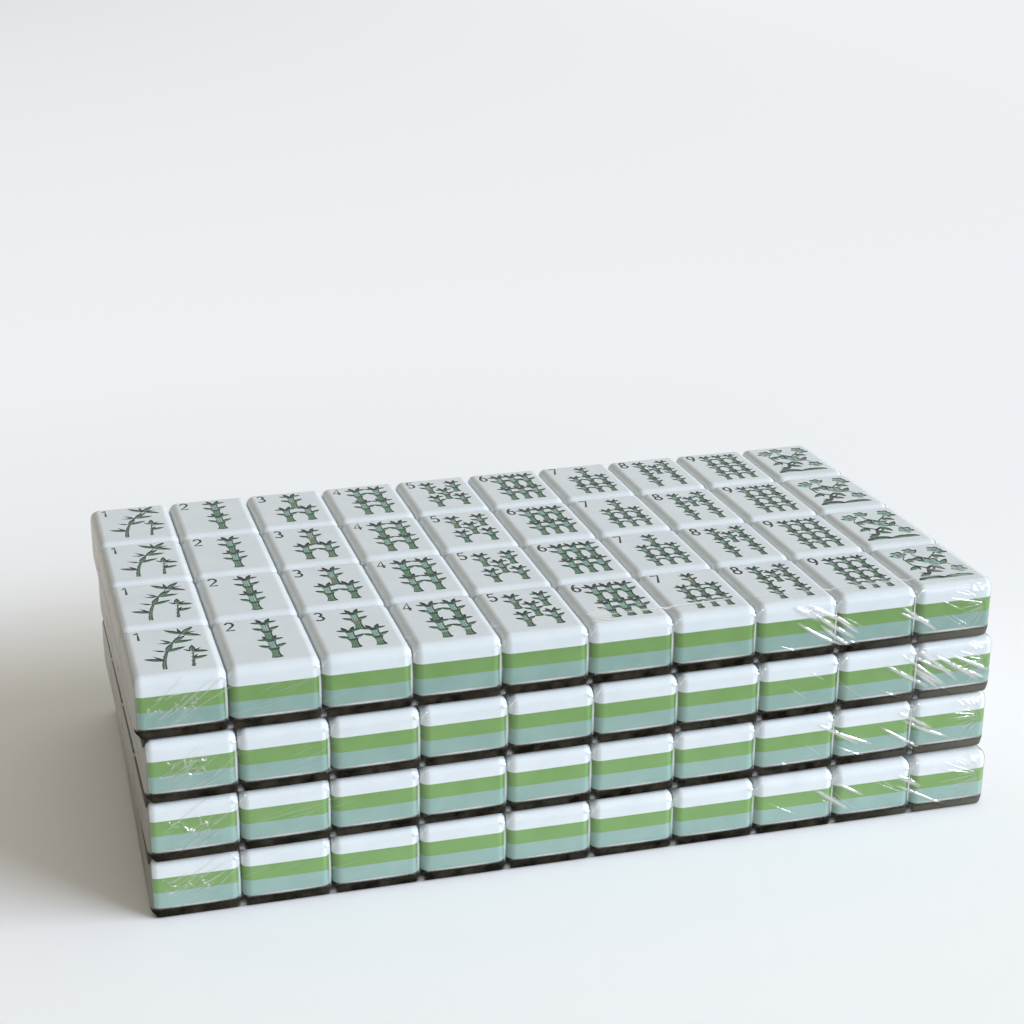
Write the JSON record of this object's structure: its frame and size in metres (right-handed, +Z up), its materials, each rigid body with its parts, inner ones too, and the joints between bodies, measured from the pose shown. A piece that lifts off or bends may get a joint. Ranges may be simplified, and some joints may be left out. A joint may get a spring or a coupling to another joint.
{
  "type": "mahjong tile set in shrink-wrapped packs",
  "caption": "Mahjong tiles of four bonded plies with rolled edges and an engraved face, wrapped tight in clear film as flat packs that lie one on another and lift off.",
  "frame": {"origin": "middle of the lowest pack's flat underside", "axes": "+X along the columns of the lowest pack, +Y along its rows from the tiles' feet to their heads, +Z up out of the faces"},
  "size_m": [0.2307, 0.127, 0.0654],
  "materials": {
    "face_ply": "glossy white acrylic with an engraved and painted face",
    "green_ply": "glossy leaf-green acrylic",
    "aqua_ply": "glossy pale aqua acrylic",
    "back_ply": "glossy brown-black acrylic with faint upright streaks",
    "film": "clear glossy shrink film"
  },
  "bodies": {
    "pack_1": {"pack_1_film": "film", "pack_1_back_plies": "back_ply", "pack_1_aqua_plies": "aqua_ply", "pack_1_green_plies": "green_ply", "pack_1_column_1_faces": "face_ply", "pack_1_column_2_faces": "face_ply", "pack_1_column_3_faces": "face_ply", "pack_1_column_4_faces": "face_ply", "pack_1_column_5_faces": "face_ply", "pack_1_column_6_faces": "face_ply", "pack_1_column_7_faces": "face_ply", "pack_1_column_8_faces": "face_ply", "pack_1_column_9_faces": "face_ply", "pack_1_column_10_faces": "face_ply"},
    "pack_2": {"pack_2_film": "film", "pack_2_back_plies": "back_ply", "pack_2_aqua_plies": "aqua_ply", "pack_2_green_plies": "green_ply", "pack_2_column_1_faces": "face_ply", "pack_2_column_2_faces": "face_ply", "pack_2_column_3_faces": "face_ply", "pack_2_column_4_faces": "face_ply", "pack_2_column_5_faces": "face_ply", "pack_2_column_6_faces": "face_ply", "pack_2_column_7_faces": "face_ply", "pack_2_column_8_faces": "face_ply", "pack_2_column_9_faces": "face_ply", "pack_2_column_10_faces": "face_ply"},
    "pack_3": {"pack_3_film": "film", "pack_3_back_plies": "back_ply", "pack_3_aqua_plies": "aqua_ply", "pack_3_green_plies": "green_ply", "pack_3_column_1_faces": "face_ply", "pack_3_column_2_faces": "face_ply", "pack_3_column_3_faces": "face_ply", "pack_3_column_4_faces": "face_ply", "pack_3_column_5_faces": "face_ply", "pack_3_column_6_faces": "face_ply", "pack_3_column_7_faces": "face_ply", "pack_3_column_8_faces": "face_ply", "pack_3_column_9_faces": "face_ply", "pack_3_column_10_faces": "face_ply"},
    "pack_4": {"pack_4_film": "film", "pack_4_back_plies": "back_ply", "pack_4_aqua_plies": "aqua_ply", "pack_4_green_plies": "green_ply", "pack_4_column_1_faces": "face_ply", "pack_4_column_2_faces": "face_ply", "pack_4_column_3_faces": "face_ply", "pack_4_column_4_faces": "face_ply", "pack_4_column_5_faces": "face_ply", "pack_4_column_6_faces": "face_ply", "pack_4_column_7_faces": "face_ply", "pack_4_column_8_faces": "face_ply", "pack_4_column_9_faces": "face_ply", "pack_4_column_10_faces": "face_ply"}
  },
  "joints": [
    {"name": "pack_2_lift", "type": "slide", "parent": "pack_1", "child": "pack_2", "axis": [0, 0, 1], "range_m": [0, 0.03]},
    {"name": "pack_3_lift", "type": "slide", "parent": "pack_2", "child": "pack_3", "axis": [0, 0, 1], "range_m": [0, 0.03]},
    {"name": "pack_4_lift", "type": "slide", "parent": "pack_3", "child": "pack_4", "axis": [0, 0, 1], "range_m": [0, 0.03]}
  ]
}
